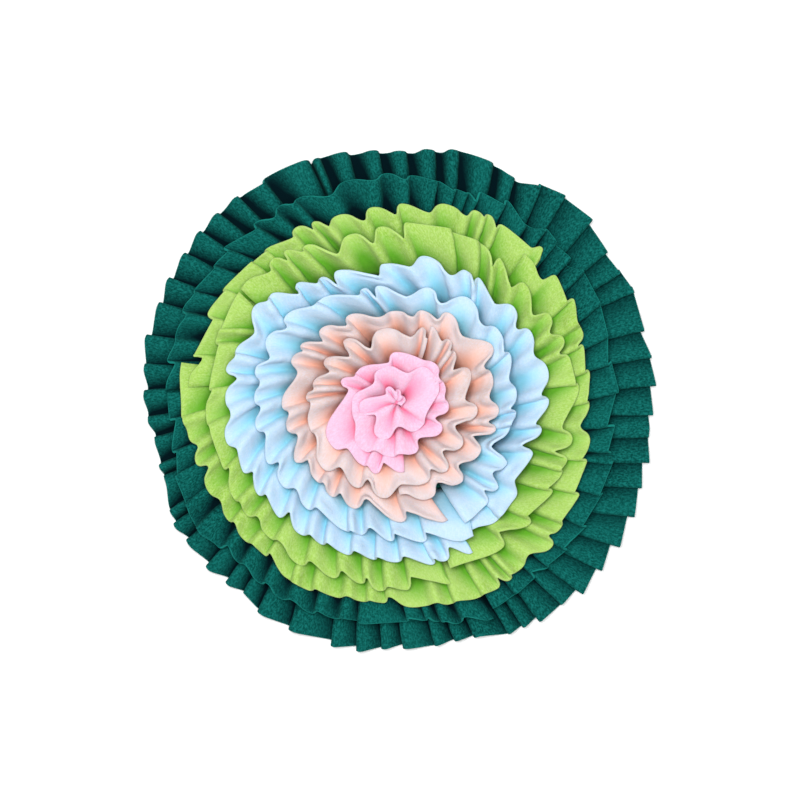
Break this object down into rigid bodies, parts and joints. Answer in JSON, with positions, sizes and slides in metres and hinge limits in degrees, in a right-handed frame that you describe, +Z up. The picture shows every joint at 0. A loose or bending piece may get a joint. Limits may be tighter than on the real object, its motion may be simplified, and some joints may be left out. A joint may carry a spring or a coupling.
{
  "type": "snuffle mat",
  "caption": "Round snuffle mat: gathered fleece ruffles sewn in tiers on a round cloth base, from dark green at the rim through lime, light blue and peach to a pink rosette.",
  "frame": {"origin": "middle of the underside of the round base cloth", "axes": "+Z up from the surface that the mat lies on, +Y to the top of the mat as seen from above, +X to its right"},
  "size_m": [0.4468, 0.4404, 0.048],
  "materials": {
    "dark_green_fleece": "matte",
    "lime_fleece": "matte",
    "light_blue_fleece": "matte",
    "peach_fleece": "matte",
    "pink_fleece": "matte",
    "base_cloth": "matte"
  },
  "bodies": {
    "root": {"base_panel": "base_cloth", "green_outer_ruffle": "dark_green_fleece", "green_inner_ruffle_long": "dark_green_fleece", "green_inner_ruffle_short": "dark_green_fleece", "lime_outer_ruffle_short": "lime_fleece", "lime_outer_ruffle_long": "lime_fleece", "lime_inner_ruffle_long": "lime_fleece", "lime_inner_ruffle_short": "lime_fleece", "blue_outer_ruffle": "light_blue_fleece", "blue_inner_ruffle": "light_blue_fleece", "peach_outer_ruffle": "peach_fleece", "peach_inner_ruffle": "peach_fleece", "pink_rosette": "pink_fleece"}
  },
  "joints": []
}
